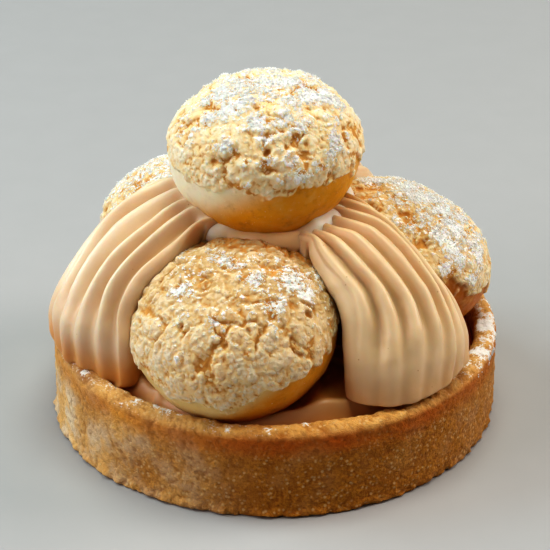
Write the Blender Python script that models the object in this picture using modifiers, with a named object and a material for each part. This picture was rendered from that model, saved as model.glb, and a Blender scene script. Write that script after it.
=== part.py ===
"""A round tartlet of choux buns and piped cream.

A shortcrust shell holds a caramel cream filling. Three choux lean outward round the
middle, ribbed tongues of cream are piped between them, and a fourth chou sits on top.
Bearings are degrees from the front (-Y), positive towards +X.
"""

import math
from dataclasses import dataclass

import bmesh
import bpy
from mathutils import Matrix, Vector, noise

MM = 0.001
GAP = 0.3 * MM  # clear space between touching pieces

# Shortcrust shell, baked in an 80 mm ring
SHELL_RADIUS = 40.0 * MM
SHELL_HEIGHT = 16.5 * MM
SHELL_WALL = 4.0 * MM
RIM_ROUND = 1.1 * MM
FOOT_ROUND = 0.5 * MM
SHELL_SIDES = 56
SHELL_GRAIN = 7.0 * MM
SHELL_RELIEF = 0.25 * MM

# Caramel cream filling
FILLING_LEVEL = 13.2 * MM
FILLING_RIDGE_RADIUS = 32.4 * MM
FILLING_RIDGE_HEIGHT = 1.2 * MM
FILLING_RIDGE_WIDTH = 1.7 * MM
FILLING_EDGE_DROP = 0.9 * MM
FILLING_RIDGE_STEPS = 6

# Cracked biscuit crust on the choux
CRUST_THICKNESS = 1.9 * MM
CRUST_LEAST = 0.15  # share of that thickness left at the bottom of a crack
CRUMB_SIZE = 5.2 * MM
CRACK_SHARE = 0.42  # share of a crumb taken by the slope into its crack
CRUST_EDGE_WAVE = 7.0  # degrees that the crust's lower edge wanders
CRUST_EDGE_SLOPE = 4.0  # half the degrees that it takes to thin out
CHOU_SHOULDER = 2.25  # power of the chou's upright outline, 2 for an oval
CHOU_SUBDIVISIONS = 4
CHOU_CUTTER_SEGMENTS = 24
CHOU_CUTTER_RINGS = 13
CHOU_CUTTER_MARGIN = 0.25 * MM  # makes up for the cutter's flat facets

# Piped cream
RIB_COUNT = 7
RIB_DEPTH = 1.8 * MM
RIB_POINTS = 4  # points across one rib
RIB_SPAN = 0.86  # share of the outer face that the ribs take
UNDERSIDE_POINTS = 5
TONGUE_STATIONS = 14
TONGUE_CUTTER_STATIONS = 10
TONGUE_CUTTER_MARGIN = 0.35 * MM  # makes up for the cutter's flat facets
SECTION_POWER_TOP = 3.0  # the tongue is flatter at its start than at its foot
SECTION_POWER_FOOT = 2.05
TIP_LENGTH = 6.0 * MM  # over which the foot rounds off
TIP_LEAST = 0.25  # share of the section left at the very tip
RIBS_FULL = 0.12  # shares of the length: ribs reach full depth, start to fade, are faint
RIBS_FADE = 0.72
RIBS_FAINT = 0.93
RIBS_AT_FOOT = 0.2  # share of their depth left there
DRAPE_START = 86.0  # degrees round the drape's curve
DRAPE_END = -4.0
CURVE_STEPS = 300
CORE_TOP = 42.0 * MM
CORE_LIP_RADIUS = 12.3 * MM
CORE_WAIST_RADIUS = 4.6 * MM
CORE_FOOT_RADIUS = 8.0 * MM
CORE_FORWARD = 2.7 * MM
CORE_SIDES = 30

NOISE_SEED = 1  # keeps the crust's pattern the same from one build to the next

CRUST_COLOUR = (0.78, 0.60, 0.34, 1.0)
SHELL_COLOUR = (0.50, 0.27, 0.09, 1.0)
CREAM_COLOUR = (0.68, 0.46, 0.27, 1.0)
FILLING_COLOUR = (0.45, 0.25, 0.11, 1.0)


@dataclass
class Chou:
    name: str
    bearing: float
    distance: float
    height: float
    radius: float
    rise: float  # half height
    tilt: float  # lean in degrees, outward on its bearing
    crust_edge: float  # polar angle of the crust's lower edge
    seed: float

    def place(self):
        """The chou's own frame: Z is its axis, X points outward."""
        out = heading(self.bearing)
        lean = Matrix.Rotation(math.radians(self.tilt), 4, Vector((-out.y, out.x, 0.0)))
        turn = Matrix.Rotation(math.atan2(out.y, out.x), 4, "Z")
        spot = out * self.distance + Vector((0.0, 0.0, self.height))
        return Matrix.Translation(spot) @ lean @ turn


@dataclass
class Tongue:
    name: str
    bearing: float
    hub: float  # distance of the drape's centre from the middle
    reach: float  # distance of its outermost point from the middle
    foot: float  # height of that point
    top: float  # height of the crest
    half_width_top: float
    half_width_foot: float
    half_depth_top: float
    half_depth_foot: float
    fullness: float  # power of the drape's curve
    drift: float  # how far to one side its upper end starts
    roll: float  # degrees that its foot turns about its own run


CHOUX = (
    Chou("chou_front", -18.0, 21.6 * MM, 25.4 * MM, 18.5 * MM, 13.0 * MM, 17.0, 92.0, 3.0),
    Chou("chou_right", 97.6, 22.2 * MM, 27.3 * MM, 17.7 * MM, 12.8 * MM, 22.0, 88.0, 11.0),
    Chou("chou_left", -138.5, 22.8 * MM, 27.2 * MM, 17.9 * MM, 13.0 * MM, 17.0, 94.0, 23.0),
    Chou("chou_top", -90.0, 1.9 * MM, 49.8 * MM, 17.6 * MM, 13.5 * MM, 3.0, 91.0, 37.0),
)

TONGUES = (
    Tongue("cream_left", -70.0, 5 * MM, 42 * MM, 15 * MM, 44.5 * MM,
           11.5 * MM, 16.5 * MM, 7 * MM, 12 * MM, 2.1, -2.0 * MM, 0.0),
    Tongue("cream_right", 46.0, 6 * MM, 40.2 * MM, 15 * MM, 43.5 * MM,
           8.2 * MM, 14.5 * MM, 7 * MM, 10 * MM, 2.25, -0.4 * MM, 10.0),
    Tongue("cream_back", 160.0, 6 * MM, 40 * MM, 15.5 * MM, 44 * MM,
           10.0 * MM, 14.5 * MM, 7 * MM, 10 * MM, 2.2, 3.0 * MM, -6.0),
)


def heading(bearing):
    """Level unit vector that points along a bearing."""
    angle = math.radians(bearing)
    return Vector((math.sin(angle), -math.cos(angle), 0.0))


def smooth_step(low, high, value):
    share = min(1.0, max(0.0, (value - low) / (high - low)))
    return share * share * (3.0 - 2.0 * share)


def blend(first, last, share):
    return first + (last - first) * share


def clear_scene():
    for thing in list(bpy.data.objects):
        bpy.data.objects.remove(thing, do_unlink=True)


def new_collection(name):
    collection = bpy.data.collections.new(name)
    bpy.context.scene.collection.children.link(collection)
    return collection


def make_material(name, colour, roughness):
    material = bpy.data.materials.new(name)
    material.use_nodes = True
    shader = material.node_tree.nodes["Principled BSDF"]
    shader.inputs["Base Color"].default_value = colour
    shader.inputs["Roughness"].default_value = roughness
    shader.inputs["Metallic"].default_value = 0.0
    material.diffuse_color = colour
    return material


def add_mesh(name, mesh, collection, material=None):
    mesh.name = name
    piece = bpy.data.objects.new(name, mesh)
    collection.objects.link(piece)
    if material:
        mesh.materials.append(material)
        mesh.shade_smooth()
        mesh.set_sharp_from_angle(angle=math.radians(40))
    return piece


def hide_cutter(piece):
    piece.hide_render = True
    piece.display_type = "WIRE"


def cut(piece, cutters):
    for cutter in cutters:
        difference = piece.modifiers.new("cut by " + cutter.name, "BOOLEAN")
        difference.operation = "DIFFERENCE"
        difference.object = cutter


def turned(name, profile, sides, collection, material=None):
    """A solid of revolution. The profile starts on the axis above and ends on it below."""
    mesh = bpy.data.meshes.new(name)
    points = [(radius, 0.0, height) for radius, height in profile]
    mesh.from_pydata(points, [(i, i + 1) for i in range(len(points) - 1)], [])
    piece = bpy.data.objects.new(name, mesh)
    collection.objects.link(piece)
    screw = piece.modifiers.new("turn", "SCREW")
    screw.steps = sides
    screw.render_steps = sides
    screw.use_merge_vertices = True
    screw.merge_threshold = 0.00001
    bpy.context.view_layer.update()
    solid = bpy.data.meshes.new_from_object(piece.evaluated_get(bpy.context.evaluated_depsgraph_get()))
    bpy.data.objects.remove(piece, do_unlink=True)
    return add_mesh(name, solid, collection, material)


def arc(centre, radius, start, end, steps):
    """Profile points along an arc, angles in degrees."""
    angles = [math.radians(start + (end - start) * i / steps) for i in range(steps + 1)]
    return [(centre[0] + radius * math.cos(a), centre[1] + radius * math.sin(a)) for a in angles]


def shell_profile():
    """Shell section from the middle of its floor, over the rim and back under."""
    inner = SHELL_RADIUS - SHELL_WALL
    inner_round = (inner + RIM_ROUND, SHELL_HEIGHT - RIM_ROUND)
    outer_round = (SHELL_RADIUS - RIM_ROUND, SHELL_HEIGHT - RIM_ROUND)
    foot_round = (SHELL_RADIUS - FOOT_ROUND, FOOT_ROUND)
    return [
        (0.0, SHELL_WALL),
        (inner, SHELL_WALL),
        *arc(inner_round, RIM_ROUND, 180, 90, 2),
        *arc(outer_round, RIM_ROUND, 90, 0, 2),
        (SHELL_RADIUS, SHELL_HEIGHT * 0.64),
        (SHELL_RADIUS, SHELL_HEIGHT * 0.34),
        *arc(foot_round, FOOT_ROUND, 0, -90, 2),
        (0.0, 0.0),
    ]


def make_shell(collection):
    """Shortcrust shell with an uneven, grainy wall and rim, and a flat underside."""
    shell = turned("tart_shell", shell_profile(), SHELL_SIDES, collection,
                   make_material("shortcrust", SHELL_COLOUR, 0.75))
    for vertex in shell.data.vertices:
        spot = vertex.co
        radius = math.hypot(spot.x, spot.y)
        if spot.z < FOOT_ROUND or radius < SHELL_RADIUS - SHELL_WALL / 2 and spot.z < SHELL_HEIGHT / 2:
            continue
        swell = SHELL_RELIEF * noise.noise(spot / SHELL_GRAIN)
        out = Vector((spot.x, spot.y, 0.0)).normalized()
        vertex.co = spot + out * swell
        if spot.z > SHELL_HEIGHT - RIM_ROUND:
            vertex.co.z += SHELL_RELIEF * noise.noise(spot / SHELL_GRAIN + Vector((9.0, 0.0, 0.0)))
    return shell


def filling_height(radius):
    """Level of the filling: flat, with a ridge near the rim and a dip beside it."""
    ridge = math.exp(-(((radius - FILLING_RIDGE_RADIUS) / FILLING_RIDGE_WIDTH) ** 2))
    dip = smooth_step(FILLING_RIDGE_RADIUS, FILLING_RIDGE_RADIUS + FILLING_RIDGE_WIDTH, radius)
    return FILLING_LEVEL + FILLING_RIDGE_HEIGHT * ridge - FILLING_EDGE_DROP * dip


def filling_profile(lift=0.0):
    """Outline of the filling's top, from the middle out to the shell's wall."""
    edge = SHELL_RADIUS - SHELL_WALL - SHELL_RELIEF - GAP
    start = FILLING_RIDGE_RADIUS - 2 * FILLING_RIDGE_WIDTH
    stations = [start + (edge - start) * i / FILLING_RIDGE_STEPS for i in range(FILLING_RIDGE_STEPS + 1)]
    return [(radius, filling_height(radius) + lift) for radius in [0.0, *stations]]


def make_filling(collection):
    profile = filling_profile()
    edge = profile[-1][0]
    bottom = SHELL_WALL + GAP
    profile += [(edge, bottom), (0.0, bottom)]
    return turned("filling", profile, SHELL_SIDES, collection,
                  make_material("caramel_cream", FILLING_COLOUR, 0.4))


def crumb_height(spot, seed):
    """Height of the cracked crust at a place, from 0 in a crack to 1 on a crumb."""
    place = spot / CRUMB_SIZE + Vector((seed, 0.0, 0.0))
    wobble = noise.noise_vector(place * 1.7) * 0.25
    distances, _ = noise.voronoi(place + wobble)
    raised = smooth_step(0.0, CRACK_SHARE, distances[1] - distances[0])
    return raised * (0.75 + 0.25 * noise.noise(place * 0.8 + Vector((0.0, seed, 0.0))))


def chou_spot(ray, radius, top, bottom):
    """Where a ray from the chou's middle meets its smooth outline, and the normal there."""
    rise = top if ray.z > 0 else bottom
    level = math.hypot(ray.x, ray.y) / radius
    upright = abs(ray.z) / rise
    reach = (level**CHOU_SHOULDER + upright**CHOU_SHOULDER) ** (-1 / CHOU_SHOULDER)
    spot = ray * reach
    steep = (abs(spot.z) / rise) ** (CHOU_SHOULDER - 1) / rise
    spread = (math.hypot(spot.x, spot.y) / radius) ** (CHOU_SHOULDER - 1) / radius
    out = Vector((ray.x, ray.y, 0.0))
    if out.length > 0:
        out.normalize()
    normal = out * spread + Vector((0.0, 0.0, math.copysign(steep, ray.z)))
    return spot, normal.normalized()


def make_chou(chou, collection, material):
    """A puffed bun whose upper part is covered by a cracked, crumbly crust."""
    shape = bmesh.new()
    bmesh.ops.create_icosphere(shape, subdivisions=CHOU_SUBDIVISIONS, radius=1.0)
    for vertex in shape.verts:
        ray = vertex.co.normalized()
        spot, normal = chou_spot(
            ray, chou.radius - CRUST_THICKNESS, chou.rise - CRUST_THICKNESS, chou.rise
        )
        polar = math.degrees(math.acos(max(-1.0, min(1.0, ray.z))))
        wander = CRUST_EDGE_WAVE * noise.noise(ray * 2.2 + Vector((0.0, 0.0, chou.seed)))
        edge = chou.crust_edge + wander
        cover = 1.0 - smooth_step(edge - CRUST_EDGE_SLOPE, edge + CRUST_EDGE_SLOPE, polar)
        relief = blend(CRUST_LEAST, 1.0, crumb_height(spot, chou.seed))
        vertex.co = spot + normal * CRUST_THICKNESS * cover * relief
    mesh = bpy.data.meshes.new(chou.name)
    shape.to_mesh(mesh)
    shape.free()
    mesh.transform(chou.place())
    return add_mesh(chou.name, mesh, collection, material)


def make_chou_cutter(chou, collection):
    """A smooth bun a little larger than the chou, which keeps the cream clear of it."""
    shape = bmesh.new()
    bmesh.ops.create_uvsphere(
        shape, u_segments=CHOU_CUTTER_SEGMENTS, v_segments=CHOU_CUTTER_RINGS, radius=1.0
    )
    grow = GAP + CHOU_CUTTER_MARGIN
    for vertex in shape.verts:
        vertex.co, _ = chou_spot(
            vertex.co.normalized(), chou.radius + grow, chou.rise + grow, chou.rise + grow
        )
    mesh = bpy.data.meshes.new(chou.name + "_cutter")
    shape.to_mesh(mesh)
    shape.free()
    mesh.transform(chou.place())
    piece = add_mesh(chou.name + "_cutter", mesh, collection)
    hide_cutter(piece)
    return piece


def signed_power(value, power):
    return math.copysign(abs(value) ** power, value)


def drape_point(tongue, angle):
    """Crest of the tongue in its upright plane: distance from the middle, and height."""
    power = 2.0 / tongue.fullness
    distance = tongue.hub + (tongue.reach - tongue.hub) * signed_power(math.cos(angle), power)
    height = tongue.foot + (tongue.top - tongue.foot) * signed_power(math.sin(angle), power)
    return Vector((distance, 0.0, height))


def even_points(curve, count):
    """Points at even spacing along a finely sampled curve, with each one's share of it."""
    lengths = [0.0]
    for before, after in zip(curve, curve[1:]):
        lengths.append(lengths[-1] + (after - before).length)
    points = []
    index = 0
    for step in range(count):
        target = lengths[-1] * step / (count - 1)
        while index < len(curve) - 2 and lengths[index + 1] < target:
            index += 1
        span = lengths[index + 1] - lengths[index]
        points.append(curve[index].lerp(curve[index + 1], (target - lengths[index]) / span))
    return points, lengths[-1]


def tongue_section(ribbed, power):
    """Outline of a piped tongue in units of its half width and half depth.

    Each point is (across, out, groove): a flat-topped oval whose outer face carries the
    ribs, with groove running from 0 on a rib to 1 between two.
    """
    angles = [math.pi * i / CURVE_STEPS for i in range(CURVE_STEPS + 1)]
    face = [
        Vector((-signed_power(math.cos(a), 2 / power), 0.0, abs(math.sin(a)) ** (2 / power)))
        for a in angles
    ]
    count = RIB_COUNT * RIB_POINTS + 5 if ribbed else 15
    outer, _ = even_points(face, count)
    outline = []
    for index, point in enumerate(outer):
        share = index / (count - 1)
        across = (share - 0.5) / RIB_SPAN + 0.5
        groove = 0.0
        if 0.0 < across < 1.0:
            groove = 0.5 + 0.5 * math.cos(2 * math.pi * RIB_COUNT * across)
        outline.append((point.x, point.z, groove))
    for index in range(1, UNDERSIDE_POINTS + 1):
        angle = math.pi * index / (UNDERSIDE_POINTS + 1)
        outline.append((math.cos(angle), -0.8 * math.sin(angle) ** (2 / power), 0.0))
    return outline


def tongue_ring(tongue, share, length, point, along, ribbed, grow):
    """One ring of the tongue, at a share of its length."""
    normal = Vector((-along.z, 0.0, along.x))
    width = blend(tongue.half_width_top, tongue.half_width_foot, share)
    depth = blend(tongue.half_depth_top, tongue.half_depth_foot, share)
    to_tip = (1.0 - share) * length
    tip = math.sqrt(1.0 - max(0.0, 1.0 - to_tip / TIP_LENGTH) ** 2)
    size = max(TIP_LEAST, tip)
    ribs = RIB_DEPTH * smooth_step(0.0, RIBS_FULL, share)
    ribs *= 1.0 - (1.0 - RIBS_AT_FOOT) * smooth_step(RIBS_FADE, RIBS_FAINT, share)
    drift = tongue.drift * (1.0 - smooth_step(0.0, 0.4, share))
    roll = math.radians(tongue.roll) * smooth_step(0.3, 0.9, share)
    power = blend(SECTION_POWER_TOP, SECTION_POWER_FOOT, smooth_step(0.1, 0.7, share))
    out = heading(tongue.bearing)
    side = Vector((-out.y, out.x, 0.0))
    centre = point - normal * depth
    ring = []
    for across, outward, groove in tongue_section(ribbed, power):
        rise = (depth + grow) * size * outward - ribs * groove * size
        spread = (width + grow) * size * across
        flat = centre + normal * (rise * math.cos(roll) + spread * math.sin(roll))
        sideways = spread * math.cos(roll) - rise * math.sin(roll) + drift
        ring.append(out * flat.x + Vector((0.0, 0.0, flat.z)) + side * sideways)
    return ring


def loft(name, rings):
    """A closed mesh through rings of equal count, with flat ends."""
    around = len(rings[0])
    faces = [
        (row * around + i, row * around + (i + 1) % around,
         (row + 1) * around + (i + 1) % around, (row + 1) * around + i)
        for row in range(len(rings) - 1)
        for i in range(around)
    ]
    faces.append(tuple(reversed(range(around))))
    faces.append(tuple(range((len(rings) - 1) * around, len(rings) * around)))
    mesh = bpy.data.meshes.new(name)
    mesh.from_pydata([point for ring in rings for point in ring], [], faces)
    shape = bmesh.new()
    shape.from_mesh(mesh)
    bmesh.ops.triangulate(shape, faces=shape.faces)
    bmesh.ops.recalc_face_normals(shape, faces=shape.faces)
    shape.to_mesh(mesh)
    shape.free()
    return mesh


def make_tongue(tongue, collection, material=None, grow=0.0):
    """A tongue of cream that drapes from the middle down onto the rim, ribbed if it shows."""
    ribbed = material is not None
    stations = TONGUE_STATIONS if ribbed else TONGUE_CUTTER_STATIONS
    fine = [
        drape_point(tongue, math.radians(blend(DRAPE_START, DRAPE_END, i / CURVE_STEPS)))
        for i in range(CURVE_STEPS + 1)
    ]
    crest, length = even_points(fine, stations)
    rings = []
    for index, point in enumerate(crest):
        along = (crest[min(stations - 1, index + 1)] - crest[max(0, index - 1)]).normalized()
        rings.append(tongue_ring(tongue, index / (stations - 1), length, point, along, ribbed, grow))
    name = tongue.name if ribbed else tongue.name + "_cutter"
    piece = add_mesh(name, loft(name, rings), collection, material)
    if not ribbed:
        hide_cutter(piece)
    return piece


def make_core(collection, material):
    """Cream that fills the middle and bulges as a lip under the top chou."""
    foot = FILLING_LEVEL + GAP
    waist = (foot + CORE_TOP) / 2
    steps = 4
    profile = [(0.0, CORE_TOP)]
    profile += arc((CORE_LIP_RADIUS - 2 * MM, CORE_TOP - 2 * MM), 2 * MM, 90, 0, steps)
    for i in range(1, steps + 1):
        share = i / steps
        radius = CORE_LIP_RADIUS + (CORE_WAIST_RADIUS - CORE_LIP_RADIUS) * smooth_step(0, 1, share)
        profile.append((radius, CORE_TOP - 2 * MM - (CORE_TOP - 2 * MM - waist) * share))
    profile += [(CORE_FOOT_RADIUS, foot + 1 * MM), (CORE_FOOT_RADIUS, foot), (0.0, foot)]
    core = turned("cream_core", profile, CORE_SIDES, collection, material)
    core.data.transform(Matrix.Translation((0.0, -CORE_FORWARD, 0.0)))
    return core


def make_bed_cutter(collection):
    """The shell and filling grown by the gap, which flattens the cream that rests on them."""
    inner = SHELL_RADIUS - SHELL_WALL - GAP - SHELL_RELIEF
    rim = SHELL_HEIGHT + GAP + SHELL_RELIEF
    outer = SHELL_RADIUS + GAP + SHELL_RELIEF
    profile = [
        *filling_profile(lift=GAP),
        *arc((inner + RIM_ROUND, rim - RIM_ROUND), RIM_ROUND, 180, 90, 2),
        *arc((outer - RIM_ROUND, rim - RIM_ROUND), RIM_ROUND, 90, 0, 2),
        (outer, 0.0),
        (0.0, 0.0),
    ]
    cutter = turned("bed_cutter", profile, SHELL_SIDES, collection)
    hide_cutter(cutter)
    return cutter


def main():
    clear_scene()
    noise.seed_set(NOISE_SEED)
    tartlet = new_collection("choux_tartlet")
    cutters = new_collection("cutters")
    make_shell(tartlet)
    filling = make_filling(tartlet)
    for chou in CHOUX:
        make_chou(chou, tartlet, make_material(chou.name + "_crust", CRUST_COLOUR, 0.85))
    chou_cutters = [make_chou_cutter(chou, cutters) for chou in CHOUX]
    tongue_cutters = [
        make_tongue(tongue, cutters, grow=GAP + TONGUE_CUTTER_MARGIN) for tongue in TONGUES
    ]
    bed_cutter = make_bed_cutter(cutters)
    for tongue in TONGUES:
        piece = make_tongue(tongue, tartlet, make_material(tongue.name + "_cream", CREAM_COLOUR, 0.35))
        cut(piece, chou_cutters + [bed_cutter])
    core = make_core(tartlet, make_material("core_cream", CREAM_COLOUR, 0.35))
    cut(core, chou_cutters + tongue_cutters)
    cut(filling, chou_cutters[:-1])


main()
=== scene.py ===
"""Looks of the choux tartlet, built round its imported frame.

Shapes are worked out in millimetres and scaled once, in add_piece. Bearings are degrees
from the front (-Y), positive towards +X. Each piece repeats the form of the solid that it
replaces, with the crumbs, ribs and grain that the solid is too coarse for.
"""

import math

import bmesh
import bpy
import numpy as np
from mathutils import Matrix, Vector, noise


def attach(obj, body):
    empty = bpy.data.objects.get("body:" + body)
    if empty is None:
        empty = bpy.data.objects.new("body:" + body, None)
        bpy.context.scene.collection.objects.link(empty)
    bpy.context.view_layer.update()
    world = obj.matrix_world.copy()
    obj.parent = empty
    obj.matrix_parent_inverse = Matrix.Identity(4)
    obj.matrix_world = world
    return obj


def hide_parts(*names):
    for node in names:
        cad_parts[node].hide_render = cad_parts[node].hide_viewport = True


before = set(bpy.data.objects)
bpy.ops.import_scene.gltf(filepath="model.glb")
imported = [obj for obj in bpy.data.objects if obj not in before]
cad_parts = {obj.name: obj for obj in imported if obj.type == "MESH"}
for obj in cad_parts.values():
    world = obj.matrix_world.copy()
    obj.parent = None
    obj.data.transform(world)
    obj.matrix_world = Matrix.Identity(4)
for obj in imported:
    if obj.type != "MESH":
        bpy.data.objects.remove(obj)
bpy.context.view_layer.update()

MM = 0.001
NOISE_SEED = 1

# Shell, as in the part's source
SHELL_RADIUS = 40.0
SHELL_HEIGHT = 16.5
SHELL_WALL = 4.0
SHELL_SIDES = 860
SHELL_SPACING = 0.26  # between the points of its profile
SHELL_PLAIN = 11.0  # height below which its inside is hidden and has no grain

# Filling
FILLING_LEVEL = 13.2
FILLING_BOTTOM = 4.3
FILLING_SIDES = 240
FILLING_STATIONS = 120
RIDGE_RADIUS = 32.4
RIDGE_HEIGHT = 1.7
RIDGE_WIDTH = 1.7
EDGE_DROP = 0.9
GAP_START = 11.0  # degrees from a chou's bearing where the heap beside it starts
GAP_FULL = 34.0
HEAP_RADIUS = 30.0
HEAP_HEIGHT = 2.8
CROSS_BEARING = -38.0  # of the short ridge beside the front chou
CROSS_START = 29.5

# Cream in the middle
CORE_TOP = 42.0
CORE_LIP = 14.2
CORE_ROUND = 2.2
CORE_BOTTOM = 13.5
CORE_SIDES = 200

# Tongues of cream
RIBBON_STATIONS = 150
POINTS_PER_RIB = 14
RIBBON_WALL = 7.0  # depth of their hidden sides
ROLL_START = 0.5  # reach of their rolled edges at the top

# Powdered sugar
SUGAR_SEED = 7
GRAIN_LEAST = 0.06  # radius of the finest grains, and how much larger the others are
GRAIN_SPREAD = 0.13
GRAIN_SCATTER = 0.10

# Crust, as in the part's source
CRUST_THICKNESS = 1.9
CRUST_LEAST = 0.15  # share of that thickness left at the bottom of a crack
CRUMB_SIZE = 5.2
CRACK_SHARE = 0.42
CRUST_EDGE_WAVE = 7.0  # degrees that the crust's lower edge wanders
CHOU_SHOULDER = 2.25

# Finer forms of the choux
CRUST_TAPER = 24.0  # degrees over which the crust thins towards its edge
CRUST_END = 14.0  # degrees past that edge where no crumb is left
CRUST_LOW = 0.45  # share of its thickness left at the edge
BODY_SWELL = 1.1  # how far the body bulges where it meets the crust
BODY_SWELL_REACH = 34.0
BODY_WAVE = 0.35  # how uneven the body is
SUGAR_LIFT = 0.3  # how thick the sugar lies
SUGAR_SHADE = 17.0  # the top chou keeps the sugar off so far from its middle
PAINTED_SHADE_START = 39.0  # crust nearer to the top chou's middle than this is darker and more golden: painted shade of the top chou
PAINTED_SHADE_FULL = 25.0
PAINTED_SHADE_SHARE = {"chou_front": 0.95, "chou_right": 0.5, "chou_left": 0.3, "chou_top": 0.0}

# name, bearing, distance, height, radius, rise, depth, tilt, crust edge, seed
CHOUX = (
    ("chou_front", -18.0, 21.6, 25.4, 18.5, 14.0, 13.2, 17.0, 89.0, 3.0),
    ("chou_right", 97.6, 22.2, 27.3, 17.7, 12.8, 12.8, 22.0, 88.0, 11.0),
    ("chou_left", -138.5, 22.8, 27.2, 17.9, 13.0, 13.0, 17.0, 94.0, 23.0),
    ("chou_top", -90.0, 1.9, 49.7, 17.6, 13.3, 15.1, 5.0, 92.0, 37.0),
)

# Fineness, way that the crust's edge lifts, heights of the body's pale and brown parts,
# amount of sugar and the way that it fell from
CHOU_LOOKS = {
    "chou_front": (112, (7.0, 0.0), (0.5, -4.5), 0.17, (0.25, 0.1, 1.0)),
    "chou_right": (104, (0.0, -14.0), (0.5, -4.5), 0.30, (0.35, 0.0, 1.0)),
    "chou_left": (100, (0.0, 0.0), (0.5, -4.5), 0.34, (-0.2, 0.2, 1.0)),
    "chou_top": (114, (-9.0, 0.0), (4.4, -3.6), 0.18, (0.10, -0.05, 1.0)),
}
# Colours of the body's pale and brown parts, and of dark, pale and low crumbs; the copies differ with the light on
# each chou, as painted light and shade: the front chou's crumbs darker under strong light from above, the right
# chou's body darker in its shade, the top chou's crumbs paler
CHOU_COLOURS = {
    "chou_front": ((0.80, 0.60, 0.27), (0.76, 0.34, 0.03), (0.74, 0.60, 0.40), (0.83, 0.72, 0.54)),
    "chou_right": ((0.50, 0.18, 0.018), (0.58, 0.18, 0.004)),
    "chou_left": ((0.80, 0.60, 0.27), (0.76, 0.32, 0.015)),
    "chou_top": ((0.94, 0.86, 0.64), (0.80, 0.38, 0.018), (0.83, 0.71, 0.48), (0.90, 0.80, 0.60),
                 (0.87, 0.67, 0.37)),
}

# Where the sugar lies in drifts and where the crust gapes: x, y, z and radius of each
SUGAR_DRIFTS = {
    "chou_front": (
        (-9.4, -20.5, 39.5, 2.4), (-6.6, -22.8, 39.3, 2.2), (-15.8, -25.6, 36.5, 2.6), (-3.6, -26.2, 38.4, 2.6),
        (-9.9, -33.1, 34.4, 1.8), (0.2, -31.0, 35.6, 3.0), (2.8, -25.8, 37.3, 2.4), (5.2, -27.0, 35.6, 2.4),
        (-16.3, -35.5, 27.9, 1.8), (0.3, -35.9, 30.6, 1.6), (-9.2, -37.3, 29.8, 1.2), (-3.9, -37.4, 29.9, 1.5),
        (-11.7, -23.8, 38.4, 1.8), (-16.2, -25.3, 36.6, 1.8), (-14.1, -27.7, 36.4, 1.6), (-5.8, -26.0, 38.5, 1.8),
        (3.5, -25.5, 37.1, 1.6),
    ),
    "chou_top": (
        (-7.8, -7.8, 61.2, 3.6), (-12.0, -8.2, 59.2, 3.0), (-3.0, -11.8, 60.3, 3.2), (1.2, -11.2, 60.5, 3.0),
        (-1.8, -13.8, 58.8, 2.6), (3.5, -12.4, 58.9, 2.8), (10.3, -10.8, 56.0, 3.2), (-7.7, -14.2, 57.0, 2.6),
        (-4.5, -16.6, 54.6, 2.0), (-1.2, -16.6, 55.0, 2.4), (2.8, -15.8, 55.2, 2.4), (-5.0, -17.3, 50.7, 2.2),
        (4.3, -16.3, 51.9, 3.0), (7.5, -14.4, 53.4, 3.0), (0.7, -17.2, 52.3, 2.2), (9.8, -0.9, 60.7, 4.6),
        (9.9, -12.2, 54.6, 2.6), (-12.0, -2.6, 60.8, 2.4), (-14.4, -8.1, 57.5, 2.0), (-9.8, 0.7, 61.8, 2.6),
        (-6.0, 2.2, 62.7, 3.0), (12.8, -7.2, 55.8, 1.5), (12.7, -9.0, 53.5, 1.3), (11.0, -6.3, 58.5, 1.6),
        (6.0, -3.4, 62.1, 4.6), (-2.6, -1.3, 63.1, 3.8), (2.5, -0.4, 63.0, 4.2), (-8.5, -2.6, 62.1, 4.0),
    ),
    "chou_right": (
        (19.5, 7.6, 40.6, 3.2), (23.3, 6.7, 40.1, 3.6), (26.9, 3.8, 39.1, 3.6), (31.1, 1.7, 37.1, 3.6),
        (31.9, -2.4, 36.2, 3.2), (28.4, -7.0, 36.8, 2.4), (30.5, -8.5, 34.6, 2.6), (29.8, -11.5, 32.1, 2.2),
        (34.9, -8.4, 29.2, 3.0), (36.2, -4.3, 31.3, 2.8), (32.6, -9.2, 32.0, 2.4),
    ),
    "tart_shell": (
        (-23.5, -29.8, 16.5, 1.6), (-20.1, -31.4, 16.5, 1.2), (-7.8, -38.1, 16.5, 1.0), (-1.2, -38.4, 16.5, 1.1),
        (1.7, -38.1, 16.5, 0.8), (5.0, -36.5, 16.5, 1.3), (-32.6, -20.2, 16.5, 1.2), (-27.5, -23.2, 16.5, 1.0),
        (-15.9, -33.7, 16.5, 1.0), (-36.9, -11.5, 16.5, 1.2), (35.3, -12.2, 16.5, 1.8), (37.8, -3.2, 16.5, 2.6),
    ),
}
CREVICES = {
    "chou_front": (
        (2.9, -20.7, 38.5, 1.0), (2.0, -20.6, 38.8, 1.0), (8.0, -24.5, 34.4, 0.9), (7.9, -26.0, 33.9, 0.9),
        (-21.0, -29.5, 30.5, 1.0), (-15.8, -32.2, 32.8, 1.1), (-12.5, -37.9, 25.5, 0.8), (-12.5, -38.0, 24.0, 0.8),
        (-8.7, -38.7, 25.4, 0.8), (5.8, -29.6, 33.6, 1.3), (-8.0, -36.7, 31.0, 1.2), (-4.4, -34.9, 33.2, 1.0),
        (1.5, -33.5, 33.0, 1.1),
    ),
    "chou_top": (
        (3.3, -14.0, 57.8, 1.4), (5.3, -13.7, 57.1, 1.4), (-1.3, -15.7, 56.7, 1.3), (-3.5, -8.3, 61.8, 1.2),
        (1.7, -14.9, 57.3, 1.3),
    ),
    "chou_right": ((22.2, -4.3, 40.0, 1.6), (26.7, -9.3, 36.4, 1.5)),
}

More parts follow.
